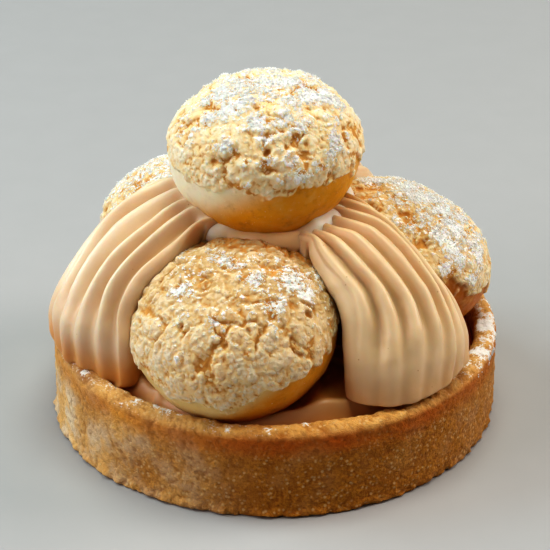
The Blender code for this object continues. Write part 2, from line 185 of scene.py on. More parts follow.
# Crests of the ribs of each tongue, from the middle down to the rim
RIGHT_RIBS = (
    ((2.6, -10.4, 39.0), (5.8, -15.4, 41.0), (6.9, -18.4, 39.8), (8.5, -20.8, 38.1), (11.0, -23.6, 36.5),
     (12.8, -25.7, 34.5), (13.6, -27.6, 31.6), (13.7, -29.0, 28.4), (13.8, -30.8, 24.1), (14.2, -32.2, 17.8)),
    ((4.6, -10.6, 39.8), (8.6, -16.2, 41.4), (11.1, -19.5, 40.4), (13.6, -22.2, 38.6), (16.4, -24.6, 36.2),
     (17.9, -26.6, 33.6), (18.5, -28.4, 31.0), (18.6, -29.9, 28.0), (18.6, -31.6, 24.4), (18.5, -33.0, 17.8)),
    ((6.4, -10.2, 40.6), (9.6, -13.6, 41.3), (12.6, -15.9, 41.5), (14.8, -18.1, 40.5), (17.2, -20.6, 38.8),
     (20.0, -23.1, 36.2), (21.8, -24.9, 33.6), (22.8, -26.8, 31.0), (23.1, -29.2, 27.0), (22.6, -32.0, 17.9)),
    ((7.8, -8.8, 41.2), (11.6, -11.6, 41.7), (15.4, -13.6, 41.5), (17.9, -15.6, 40.4), (20.3, -18.0, 38.8),
     (22.7, -20.3, 36.5), (24.9, -22.4, 33.8), (26.3, -24.2, 30.8), (27.1, -26.6, 26.8), (26.0, -30.0, 18.2)),
    ((8.6, -6.8, 41.8), (12.8, -9.2, 42.2), (17.0, -10.6, 41.6), (19.8, -12.2, 40.3), (22.0, -14.4, 38.9),
     (24.2, -16.9, 37.0), (26.6, -18.9, 34.3), (28.3, -20.9, 31.3), (29.8, -23.7, 26.6), (29.3, -27.5, 18.7)),
    ((9.0, -4.4, 42.4), (13.2, -6.4, 42.6), (17.0, -7.8, 41.8), (20.0, -9.6, 40.4), (22.6, -12.2, 38.6),
     (25.3, -15.2, 36.4), (27.9, -17.5, 33.5), (30.0, -19.2, 30.0), (31.8, -22.2, 24.9), (31.3, -25.2, 19.3)),
    ((9.0, -1.2, 42.6), (12.3, -2.9, 43.2), (15.2, -4.6, 42.6), (18.2, -6.6, 41.2), (21.5, -9.2, 39.2),
     (25.1, -11.8, 36.2), (28.4, -14.0, 32.8), (31.2, -15.8, 28.9), (33.4, -17.8, 23.6), (33.3, -21.4, 19.6)),
)
LEFT_RIBS = (
    ((-9.6, -10.4, 41.2), (-11.8, -11.4, 42.4), (-14.2, -12.6, 42.0), (-17.0, -15.2, 40.4), (-19.8, -17.1, 38.8),
     (-23.3, -18.8, 36.2), (-25.8, -20.6, 33.0), (-27.0, -22.2, 29.2), (-26.9, -23.9, 24.4), (-26.8, -23.9, 16.6)),
    ((-11.6, -7.4, 42.0), (-14.6, -8.4, 43.0), (-17.2, -9.9, 42.2), (-19.8, -12.0, 41.1), (-23.8, -14.8, 38.4),
     (-27.0, -16.8, 35.6), (-29.3, -18.6, 32.4), (-30.5, -20.8, 28.4), (-30.9, -22.0, 24.0), (-30.7, -21.3, 16.9)),
    ((-12.8, -4.4, 42.4), (-16.2, -5.4, 43.1), (-19.2, -7.0, 42.2), (-21.8, -9.1, 40.9), (-25.3, -11.2, 38.9),
     (-28.4, -12.9, 36.5), (-31.4, -15.2, 32.9), (-33.7, -17.4, 28.6), (-34.7, -19.0, 24.0), (-34.5, -18.7, 17.9)),
    ((-13.6, -1.0, 42.4), (-17.3, -1.2, 43.2), (-20.6, -1.8, 42.1), (-23.6, -3.1, 40.9), (-27.6, -4.9, 38.6),
     (-31.3, -7.9, 35.5), (-34.2, -10.8, 32.0), (-36.3, -13.4, 27.8), (-37.6, -15.2, 23.6), (-37.5, -15.9, 18.4)),
    ((-13.8, 3.0, 42.2), (-17.5, 3.6, 43.2), (-21.6, 2.7, 42.0), (-24.9, 1.9, 40.7), (-28.4, 0.4, 38.5),
     (-31.4, -1.8, 35.9), (-34.6, -5.6, 31.9), (-37.2, -8.7, 28.2), (-39.2, -10.2, 23.8), (-39.2, -11.8, 18.8)),
    ((-13.8, 5.8, 41.2), (-17.8, 6.6, 41.4), (-22.2, 6.2, 40.4), (-26.0, 5.2, 38.0), (-29.8, 3.6, 35.3),
     (-33.3, 1.0, 32.2), (-36.6, -2.0, 28.5), (-39.2, -4.4, 24.4), (-40.3, -6.0, 21.2), (-40.2, -7.8, 18.2)),
    ((-13.6, 7.8, 39.0), (-17.6, 8.6, 39.4), (-22.0, 8.6, 38.0), (-26.0, 8.0, 36.0), (-29.8, 6.8, 33.4),
     (-33.6, 4.6, 30.0), (-36.6, 2.0, 26.6), (-38.8, -0.2, 22.8), (-40.0, -2.2, 19.6), (-40.2, -4.6, 17.0)),
)
BACK_TURN = 114.0  # degrees from the right tongue on to the one at the back

# In metres, as the lights
LIT_PLACE = (0.0, 0.0, 0.03)
CAMERA_PLACE = (0.0, -0.34577, 0.20937)
CAMERA_DIP = 28.07  # degrees that it looks down
CAMERA_FOCAL = 3.9664  # in widths of the picture


def heading(bearing):
    angle = math.radians(bearing)
    return Vector((math.sin(angle), -math.cos(angle), 0.0))


def smooth_step(low, high, value):
    share = np.clip((value - low) / (high - low), 0.0, 1.0)
    return share * share * (3.0 - 2.0 * share)


def step(low, high, value):
    """smooth_step for one number, without numpy's overhead."""
    share = min(1.0, max(0.0, (value - low) / (high - low)))
    return share * share * (3.0 - 2.0 * share)


def blend(first, last, share):
    return first + (last - first) * share


def unit(vectors):
    return vectors / np.maximum(np.linalg.norm(vectors, axis=-1, keepdims=True), 1e-9)


def bumps(spot, size, x=0.0, y=0.0, z=0.0):
    """Noise from about -1 to 1, in bumps about size millimetres wide."""
    return noise.noise(spot / size + Vector((x, y, z)))


# Materials


class Shader:
    """A Principled material with short calls for the nodes that feed it."""

    def __init__(self, name, roughness, **settings):
        self.material = bpy.data.materials.new(name)
        self.material.use_nodes = True
        self.tree = self.material.node_tree
        self.surface = self.tree.nodes["Principled BSDF"]
        self.surface.inputs["Roughness"].default_value = roughness
        for socket, value in settings.items():
            self.surface.inputs[socket.replace("_", " ")].default_value = value
        self.place = self.node("ShaderNodeTexCoord").outputs["Object"]

    def node(self, kind):
        return self.tree.nodes.new(kind)

    def link(self, source, target):
        if hasattr(source, "is_output"):
            self.tree.links.new(source, target)
        else:
            target.default_value = source

    def texture(self, kind, size, place=None):
        """A texture whose features are about size millimetres wide."""
        texture = self.node("ShaderNodeTex" + kind)
        texture.inputs["Scale"].default_value = 1.0 / (size * MM)
        self.link(place or self.place, texture.inputs["Vector"])
        return texture

    def noise(self, size, detail=3.0, rough=0.55, shift=0.0):
        """Noise from 0 to 1."""
        mapping = self.node("ShaderNodeMapping")
        mapping.inputs["Location"].default_value = (shift, shift * 0.7, shift * 0.3)
        self.link(self.place, mapping.inputs["Vector"])
        texture = self.texture("Noise", size, mapping.outputs[0])
        texture.inputs["Detail"].default_value = detail
        texture.inputs["Roughness"].default_value = rough
        return texture.outputs["Fac"]

    def cells(self, size):
        """Distance from the middle of the nearest cell."""
        return self.texture("Voronoi", size).outputs["Distance"]

    def granules(self, size, warp):
        """1 on the tops of irregular granules and 0 in the pits between them."""
        bend = self.texture("Noise", size)
        bend.inputs["Detail"].default_value = 2.0
        shift = self.node("ShaderNodeVectorMath")
        shift.operation = "MULTIPLY_ADD"
        self.link(bend.outputs["Color"], shift.inputs[0])
        shift.inputs[1].default_value = (warp * size * MM,) * 3
        self.link(self.place, shift.inputs[2])
        texture = self.texture("Voronoi", size, shift.outputs[0])
        return self.ramp(texture.outputs["Distance"], 0.12, 0.62, 1.0, 0.0)

    def attribute(self, name):
        attribute = self.node("ShaderNodeAttribute")
        attribute.attribute_name = name
        return attribute.outputs["Fac"]

    def ramp(self, value, low, high, first=0.0, last=1.0):
        """Smooth change from first to last while value goes from low to high."""
        ramp = self.node("ShaderNodeMapRange")
        ramp.interpolation_type = "SMOOTHSTEP"
        for socket, number in zip(("From Min", "From Max", "To Min", "To Max"), (low, high, first, last)):
            ramp.inputs[socket].default_value = number
        self.link(value, ramp.inputs["Value"])
        return ramp.outputs["Result"]

    def maths(self, operation, *values):
        maths = self.node("ShaderNodeMath")
        maths.operation = operation
        for socket, value in zip(maths.inputs, values):
            self.link(value, socket)
        return maths.outputs[0]

    def times(self, first, second):
        return self.maths("MULTIPLY", first, second)

    def plus(self, first, second):
        return self.maths("ADD", first, second)

    def mix(self, share, first, last):
        """Mix of two colours."""
        mix = self.node("ShaderNodeMix")
        mix.data_type = "RGBA"
        self.link(share, mix.inputs[0])
        for source, target in ((first, mix.inputs[6]), (last, mix.inputs[7])):
            self.link((*source, 1.0) if isinstance(source, tuple) else source, target)
        return mix.outputs[2]

    def bump(self, height, depth, before=None):
        """Bump whose height runs over depth millimetres."""
        bump = self.node("ShaderNodeBump")
        bump.inputs["Distance"].default_value = depth * MM
        self.link(height, bump.inputs["Height"])
        if before:
            self.link(before, bump.inputs["Normal"])
        self.link(bump.outputs[0], self.surface.inputs["Normal"])
        return bump.outputs[0]

    def finish(self, colour, roughness=None):
        self.link(colour, self.surface.inputs["Base Color"])
        if roughness:
            self.link(roughness, self.surface.inputs["Roughness"])
        return self.material


def crust_material(name, body_pale, body_baked, crumb_dark=(0.80, 0.65, 0.41),
                   crumb_pale=(0.88, 0.77, 0.55), crumb_low=(0.82, 0.59, 0.30)):
    """Body and crust of a chou: crumbs pale on top, orange-brown in the cracks and pits (their baked colour, partly
    painted shade), sugar white.
    """
    shader = Shader(name, 0.75, Subsurface_Weight=0.75, Subsurface_Radius=(1.0, 0.75, 0.5),
                    Subsurface_Scale=1.5 * MM, Specular_IOR_Level=0.25)
    tone, cover, sugar, baked = map(shader.attribute, ("tone", "cover", "sugar", "baked"))
    fine = shader.noise(0.6, 4.0, 0.65)
    broad = shader.noise(4.5, 2.0, 0.5, 3.0)
    crumb = shader.mix(shader.ramp(fine, 0.3, 0.7), crumb_dark, crumb_pale)
    crumb = shader.mix(shader.ramp(broad, 0.45, 0.75, 0.0, 0.4), crumb, (0.78, 0.53, 0.25))
    # under is painted shade: crust near the top chou's middle is mixed darker and more golden
    under = shader.attribute("under")
    crumb = shader.mix(under, crumb, (0.71, 0.53, 0.31))
    low = shader.mix(under, crumb_low, (0.55, 0.36, 0.16))
    granule = shader.granules(0.95, 1.1)
    deep = shader.plus(tone, shader.ramp(fine, 0.2, 0.8, -0.08, 0.08))
    deep = shader.plus(deep, shader.ramp(granule, 0.0, 1.0, -0.22, 0.10))
    crumb = shader.mix(shader.ramp(deep, 0.18, 0.56), low, crumb)
    crumb = shader.mix(shader.ramp(deep, -0.02, 0.22), (0.60, 0.29, 0.07), crumb)
    body = shader.mix(baked, body_pale, body_baked)
    patch = shader.ramp(shader.noise(3.4, 4.0, 0.6, 2.0), 0.5, 0.7, 0.0, 0.4)
    body = shader.mix(shader.times(patch, baked), body, (0.84, 0.54, 0.17))
    spots = shader.ramp(shader.noise(2.6, 4.0, 0.65, 7.0), 0.5, 0.75, 0.0, 0.35)
    spots = shader.times(spots, shader.ramp(baked, 0.0, 1.0, 0.3, 1.0))
    body = shader.mix(spots, body, (0.30, 0.10, 0.012))
    skin = shader.mix(cover, body, crumb)
    dust = shader.plus(sugar, shader.ramp(shader.noise(0.4, 4.0, 0.75, 11.0), 0.3, 0.7, -0.26, 0.26))
    dust = shader.plus(dust, shader.ramp(granule, 0.0, 1.0, -0.34, 0.20))
    dust = shader.ramp(dust, 0.32, 0.56)
    skin = shader.mix(dust, skin, (0.96, 0.93, 0.88))
    grain = shader.plus(shader.times(fine, 0.6), shader.times(dust, 0.4))
    grain = shader.times(shader.plus(grain, granule), cover)
    first = shader.bump(grain, 0.18)
    shader.bump(shader.noise(0.28, 2.0, 0.6, 5.0), 0.06, first)
    return shader.finish(skin, shader.ramp(cover, 0.0, 1.0, 0.42, 0.85))


def cream_material(name, darker, paler, shaded=(0.52, 0.23, 0.055)):
    """Piped caramel cream, with a soft sheen, tiny specks of vanilla, faint pits, and painted shade in its grooves
    and low parts.
    """
    shader = Shader(name, 0.38, Subsurface_Weight=0.45, Subsurface_Radius=(1.0, 0.55, 0.25),
                    Subsurface_Scale=2.6 * MM, Specular_IOR_Level=0.42, Coat_Weight=0.12, Coat_Roughness=0.3)
    valley, low = map(shader.attribute, ("valley", "low"))
    colour = shader.mix(shader.ramp(shader.noise(6.0, 2.0), 0.3, 0.7), darker, paler)
    # Painted shade: grooves (valley) take a brown, and low parts the shaded colour
    colour = shader.mix(shader.times(valley, 0.85), colour, (0.60, 0.34, 0.13))
    colour = shader.mix(shader.times(low, 0.6), colour, shaded)
    speck = shader.ramp(shader.cells(1.9), 0.055, 0.085, 1.0, 0.0)
    rare = shader.ramp(shader.noise(3.1, 1.0, 0.5, 9.0), 0.56, 0.62)
    speck = shader.times(shader.times(speck, rare), 0.5)
    colour = shader.mix(speck, colour, (0.36, 0.15, 0.05))
    first = shader.bump(shader.noise(1.6, 3.0, 0.6), 0.05)
    shader.bump(shader.noise(0.3, 2.0, 0.6, 2.0), 0.012, first)
    rough = shader.ramp(shader.noise(2.0, 3.0, 0.6, 4.0), 0.3, 0.7, 0.33, 0.5)
    return shader.finish(colour, rough)


def filling_material():
    """Shiny caramel cream: paler on its ridges (painted highlight), browner where little light gets in (painted
    shade).
    """
    shader = Shader("filling_caramel", 0.34, Subsurface_Weight=0.3, Subsurface_Radius=(1.0, 0.45, 0.2),
                    Subsurface_Scale=1.5 * MM, Specular_IOR_Level=0.45)
    colour = shader.mix(shader.ramp(shader.noise(7.0, 2.0), 0.3, 0.7), (0.92, 0.38, 0.08), (0.95, 0.44, 0.11))
    colour = shader.mix(shader.attribute("valley"), colour, (0.92, 0.68, 0.40))
    colour = shader.mix(shader.times(shader.attribute("brown"), 0.7), colour, (0.52, 0.22, 0.055))
    shader.bump(shader.noise(2.4, 3.0, 0.5), 0.06)
    return shader.finish(colour)


def shortcrust_material():
    """Sandy shortcrust: golden grains, toasted below the rim, smudged, with sugar, and painted light paling its
    left side.
    """
    shader = Shader("shell_shortcrust", 0.7, Subsurface_Weight=0.08, Subsurface_Radius=(0.8, 0.4, 0.15),
                    Subsurface_Scale=1.0 * MM, Specular_IOR_Level=0.32)
    toast, sugar, relief = map(shader.attribute, ("toast", "sugar", "relief"))
    sand = shader.noise(0.5, 4.0, 0.7)
    colour = shader.mix(shader.ramp(sand, 0.3, 0.7), (0.34, 0.11, 0.004), (0.63, 0.28, 0.030))
    smudge = shader.ramp(shader.noise(4.5, 3.0, 0.6, 4.0), 0.45, 0.72, 0.0, 0.55)
    colour = shader.mix(smudge, colour, (0.42, 0.155, 0.012))
    # pale carries painted light, paling the left side and the toasted band there
    pale = shader.attribute("pale")
    patch = shader.ramp(shader.noise(5.0, 3.0, 0.6, 9.0), 0.4, 0.62)
    paler = shader.mix(patch, (0.95, 0.60, 0.23), (0.90, 0.72, 0.48))
    colour = shader.mix(shader.times(pale, 0.75), colour, paler)
    toasted = shader.mix(pale, (0.57, 0.12, 0.001), (0.80, 0.38, 0.06))
    colour = shader.mix(shader.times(toast, 0.95), colour, toasted)
    rim = shader.attribute("rim")
    colour = shader.mix(shader.times(rim, 0.7), colour, (0.84, 0.51, 0.17))
    palest = shader.times(shader.maths("POWER", pale, 2.5), 0.75)
    colour = shader.mix(shader.times(rim, palest), colour, (0.36, 0.14, 0.05))
    colour = shader.mix(shader.ramp(relief, 0.12, 0.55, 0.5, 0.0), colour, (0.30, 0.095, 0.008))
    grains = shader.ramp(shader.cells(0.9), 0.14, 0.42, 0.6, 0.0)
    grains = shader.times(grains, shader.ramp(shader.noise(2.6, 2.0, 0.5, 6.0), 0.38, 0.56))
    grains = shader.times(grains, shader.ramp(toast, 0.0, 0.6, 1.0, 0.15))
    colour = shader.mix(grains, colour, (0.78, 0.56, 0.28))
    dust = shader.plus(sugar, shader.ramp(shader.noise(0.45, 3.0, 0.7, 8.0), 0.25, 0.75, -0.35, 0.35))
    dust = shader.ramp(dust, 0.42, 0.72)
    colour = shader.mix(dust, colour, (0.95, 0.92, 0.87))
    first = shader.bump(sand, 0.32)
    shader.bump(shader.noise(0.28, 2.0, 0.6, 2.0), 0.16, first)
    return shader.finish(colour)


def sugar_material():
    shader = Shader("powdered_sugar", 0.6, Subsurface_Weight=0.9, Subsurface_Radius=(1.0, 0.9, 0.8),
                    Subsurface_Scale=0.5 * MM, Specular_IOR_Level=0.4)
    colour = shader.mix(shader.ramp(shader.noise(1.5, 2.0), 0.3, 0.7), (0.94, 0.91, 0.85), (0.98, 0.95, 0.90))
    shader.bump(shader.noise(0.12, 2.0), 0.03)
    return shader.finish(colour)


# Meshes


def add_object(name, data):
    thing = bpy.data.objects.new(name, data)
    bpy.context.scene.collection.objects.link(thing)
    return thing


def turn_outward(mesh):
    """Turn all faces of a closed mesh outward."""
    shape = bmesh.new()
    shape.from_mesh(mesh)
    bmesh.ops.recalc_face_normals(shape, faces=shape.faces)
    shape.to_mesh(mesh)
    shape.free()


def add_piece(name, points, faces, node, slot, material, mixed=False, **attributes):
    """A smooth mesh from millimetre points, with one number per point for each attribute.

    mixed is for faces that aren't all turned outward yet.
    """
    mesh = bpy.data.meshes.new(name)
    mesh.from_pydata((points * MM).tolist(), [], faces)
    for key, values in attributes.items():
        layer = mesh.attributes.new(key, "FLOAT", "POINT")
        layer.data.foreach_set("value", np.asarray(values, dtype=np.float32))
    if mixed:
        turn_outward(mesh)
    mesh.shade_smooth()
    mesh.materials.append(material)
    piece = add_object(name, mesh)
    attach(piece, "root")
    if node:
        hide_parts(node)
    return piece


def grid_faces(rows, columns, wrap=False):
    """Quads of a grid of points, joined round if wrap is set."""
    row, column = np.meshgrid(np.arange(rows - 1), np.arange(columns if wrap else columns - 1), indexing="ij")
    after = (column + 1) % columns
    return np.stack(
        [row * columns + column, row * columns + after, (row + 1) * columns + after, (row + 1) * columns + column],
        axis=-1,
    ).reshape(-1, 4)


def ball_grid(count):
    """Unit directions and quads of a cube of count by count faces, blown up to a ball."""
    line = np.tan(np.linspace(-1.0, 1.0, count + 1) * math.pi / 4)
    across, up = np.meshgrid(line, line, indexing="ij")
    out = np.ones_like(across)
    sides = []
    for sign in (1.0, -1.0):
        sides += [(out * sign, across, up * sign), (across * sign, up, out * sign), (up * sign, out * sign, across)]
    points = np.concatenate([np.stack(side, axis=-1).reshape(-1, 3) for side in sides])
    faces = np.concatenate([grid_faces(count + 1, count + 1) + (count + 1) ** 2 * i for i in range(6)])
    _, first, index = np.unique(np.round(points, 5), axis=0, return_index=True, return_inverse=True)
    faces = index.ravel()[faces]
    points = unit(points[first])
    corners = points[faces]
    facing = np.cross(corners[:, 1] - corners[:, 0], corners[:, 3] - corners[:, 0])
    inward = (facing * corners[:, 0]).sum(axis=1) < 0
    faces[inward] = faces[inward][:, ::-1]
    return points, faces


# Choux


def chou_place(bearing, distance, height, tilt):
    out = heading(bearing)
    lean = Matrix.Rotation(math.radians(tilt), 4, Vector((-out.y, out.x, 0.0)))
    turn = Matrix.Rotation(math.atan2(out.y, out.x), 4, "Z")
    return Matrix.Translation(out * distance + Vector((0.0, 0.0, height))) @ lean @ turn


def chou_surface(rays, radius, top, bottom):
    """Points of the chou's smooth outline along each ray, and the normals there."""
    rise = np.where(rays[:, 2] > 0, top, bottom)
    level = np.hypot(rays[:, 0], rays[:, 1])
    reach = (level / radius) ** CHOU_SHOULDER + (np.abs(rays[:, 2]) / rise) ** CHOU_SHOULDER
    reach = reach ** (-1 / CHOU_SHOULDER)
    spots = rays * reach[:, None]
    steep = (np.abs(spots[:, 2]) / rise) ** (CHOU_SHOULDER - 1) / rise * np.sign(rays[:, 2])
    spread = (level * reach / radius) ** (CHOU_SHOULDER - 1) / radius
    out = rays[:, :2] / np.maximum(level, 1e-9)[:, None]
    normals = np.column_stack([out * spread[:, None], steep])
    return spots, unit(normals)


def crumbs(spot, size, shift, seed):
    """Round crumbs about size millimetres wide: 1 on their tops, 0 between them."""
    far, near = noise.voronoi(spot / size + Vector((shift, seed, shift * 2.0)))
    return max(0.0, 1.0 - 2.0 * far[0] ** 2) * (0.75 + 0.6 * noise.noise(near[0] * 7.3))


def crust_relief(spot, seed):
    """Height and paleness of the crust, both about 0 in a crack and 1 on a crumb."""
    place = spot / CRUMB_SIZE + Vector((seed, 0.0, 0.0))
    rough = noise.noise_vector(spot / 0.9)
    far, _ = noise.voronoi(place + noise.noise_vector(place * 1.7) * 0.3 + rough * 0.07)
    open_crack = step(-0.05, 0.4, bumps(spot, 4.0, 2.0, seed))
    plate = step(0.0, CRACK_SHARE * blend(0.25, 0.55, open_crack), far[1] - far[0])
    bent = spot + noise.noise_vector(spot / 2.0 + Vector((seed, seed, 0.0))) * 0.5 + rough * 0.12
    large = crumbs(bent, 2.6, 0.0, seed)
    middle = crumbs(bent, 1.3, 3.0, seed)
    small = crumbs(spot + rough * 0.08, 0.75, 5.0, seed)
    open_crack = blend(1.0, plate, 0.14 + 0.56 * open_crack)
    height = (0.48 + 0.26 * large + 0.17 * middle + 0.09 * small) * open_crack
    tone = (0.20 + 0.36 * large + 0.40 * middle + 0.30 * small + 0.12 * bumps(spot, 0.5)) * open_crack
    return height, max(0.0, tone)


def near_spots(points, spots):
    """1 where a point is near one of the spots (x, y, z, radius), 0 beyond their radii."""
    near = np.zeros(len(points))
    for *middle, radius in spots:
        apart = np.linalg.norm(points - np.array(middle), axis=1)
        near = np.maximum(near, smooth_step(radius, 0.25 * radius, apart))
    return near


def point_normals(points, faces):
    """Unit normals at the points of a mesh of quads."""
    corners = points[faces]
    facing = np.cross(corners[:, 2] - corners[:, 0], corners[:, 3] - corners[:, 1])
    total = np.zeros_like(points)
    for corner in range(4):
        for axis in range(3):
            total[:, axis] += np.bincount(faces[:, corner], facing[:, axis], len(points))
    return unit(total)


def make_chou(name, bearing, distance, height, radius, rise, depth, tilt, crust_edge, seed,
              count, edge_rise, bake, dust, dust_from, material):
    """A chou: smooth baked body, with a cracked crust of crumbs over its upper part.

    edge_rise is the way that the crust's edge lifts, as long as the most it lifts, in degrees.
    The body is pale above the first height of bake and brown below the second. dust_from is
    the way that the sugar fell from, and dust how much of it lies there.
    """
    edge_rise = np.array(edge_rise)
    dust_from = unit(np.array(dust_from))
    rays, faces = ball_grid(count)
    spots, normals = chou_surface(rays, radius - CRUST_THICKNESS, rise - CRUST_THICKNESS, depth)
    place = chou_place(bearing, distance, height, tilt)
    polar = np.degrees(np.arccos(np.clip(rays[:, 2], -1.0, 1.0)))
    turned = np.array(place.to_3x3())
    shift = np.array(place.translation)
    relief, tone, cover, clump, lift = np.zeros((5, len(rays)))
    skin = (spots + normals * CRUST_THICKNESS * 0.7) @ turned.T + shift
    warp = np.array([noise.noise_vector(Vector(point) / 1.4) for point in skin])
    drift = near_spots(skin + warp * 0.8, SUGAR_DRIFTS.get(name, ()))
    crevice = near_spots(skin + warp * 0.7, CREVICES.get(name, ()))
    middle = heading(CHOUX[-1][1]) * CHOUX[-1][2]
    apart = np.hypot(skin[:, 0] - middle.x, skin[:, 1] - middle.y)
    shade = smooth_step(SUGAR_SHADE + 3.0, SUGAR_SHADE, apart) * (name != "chou_top")
    # Painted shade of the top chou on the crust, in a share that differs from chou to chou
    under = smooth_step(PAINTED_SHADE_START, PAINTED_SHADE_FULL, apart) * PAINTED_SHADE_SHARE[name]
    for i, ray in enumerate(rays):
        way = Vector(ray)
        spot = Vector(spots[i])
        edge = crust_edge + CRUST_EDGE_WAVE * noise.noise(way * 2.2 + Vector((0.0, 0.0, seed)))
        edge -= max(0.0, float(edge_rise @ turned[:2] @ ray))
        lift[i] = BODY_WAVE * bumps(spot, 7.0, seed)
        swell = BODY_SWELL * step(BODY_SWELL_REACH, 0.0, polar[i] - edge)
        pores = 0.10 * bumps(spot, 1.8) + 0.04 * bumps(spot, 0.7)
        if polar[i] > edge + CRUST_END:
            lift[i] += swell + pores
            continue
        edge += 5.0 * bumps(spot, 2.1, 0.0, seed) + 2.5 * bumps(spot, 0.8)
        cover[i] = 1.0 - step(edge - 1.5, edge + 1.5, polar[i])
        taper = step(0.0, CRUST_TAPER, edge - polar[i])
        relief[i], tone[i] = crust_relief(spot, seed)
        relief[i] *= 1.0 - 0.75 * crevice[i]
        tone[i] *= 1.0 - 0.9 * crevice[i]
        clump[i] = bumps(spot, 3.6, seed, 3.0, 1.0)
        clump[i] += 0.5 * bumps(spot, 1.2, 1.0, seed, 5.0)
        clump[i] += 0.5 * (crumbs(spot, 0.9, 8.0, seed) - 0.4)
        lift[i] += pores * (1 - cover[i]) + swell * (1.0 - taper)
        thick = cover[i] * (CRUST_LEAST + (0.97 - CRUST_LEAST) * relief[i])
        lift[i] += CRUST_THICKNESS * thick * (CRUST_LOW + (1.0 - CRUST_LOW) * taper)
    points = spots + normals * lift[:, None]
    facing = point_normals(points, faces) @ turned.T @ dust_from
    broad = normals @ turned.T @ dust_from
    laid = dust - 0.5 + 0.30 * broad + 0.45 * clump + (0.95 - 0.45 * broad) * drift - shade - crevice
    sugar = cover * (laid + 0.50 * facing + 0.45 * (tone - 0.5))
    # Crust in the top chou's shade is also painted darker and more golden: painted shade
    tone -= 0.28 * shade
    points += normals * (SUGAR_LIFT * cover * smooth_step(-0.2, 0.5, laid + 0.3 * broad))[:, None]
    points = points @ turned.T + shift
    apart = points - shift
    baked = spots[:, 2] - 0.55 * apart[:, 0] - 0.45 * np.maximum(0.0, apart[:, 1])
    baked = smooth_step(*bake, baked)
    return add_piece(name + "_bun", points, faces.tolist(), name, name + "_crust", material,
                     tone=tone, cover=cover, sugar=sugar, baked=baked, under=under)


# Cream


def spline(points, count):
    """count points at even spacing on a smooth curve through the given ones."""
    points = np.asarray(points, dtype=float)
    padded = np.concatenate([[2 * points[0] - points[1]], points, [2 * points[-1] - points[-2]]])
    curve = []
    for before, start, end, after in zip(padded, padded[1:], padded[2:], padded[3:]):
        for share in np.linspace(0.0, 1.0, 24, endpoint=False):
            curve.append(catmull(before, start, end, after, share))
    curve.append(points[-1])
    curve = np.array(curve)
    lengths = np.concatenate([[0.0], np.cumsum(np.linalg.norm(np.diff(curve, axis=0), axis=1))])
    wanted = np.linspace(0.0, lengths[-1], count)
    return np.column_stack([np.interp(wanted, lengths, curve[:, i]) for i in range(3)])


def catmull(before, start, end, after, share):
    return 0.5 * (
        2 * start
        + (end - before) * share
        + (2 * before - 5 * start + 4 * end - after) * share**2
        + (3 * start - before - 3 * end + after) * share**3
    )


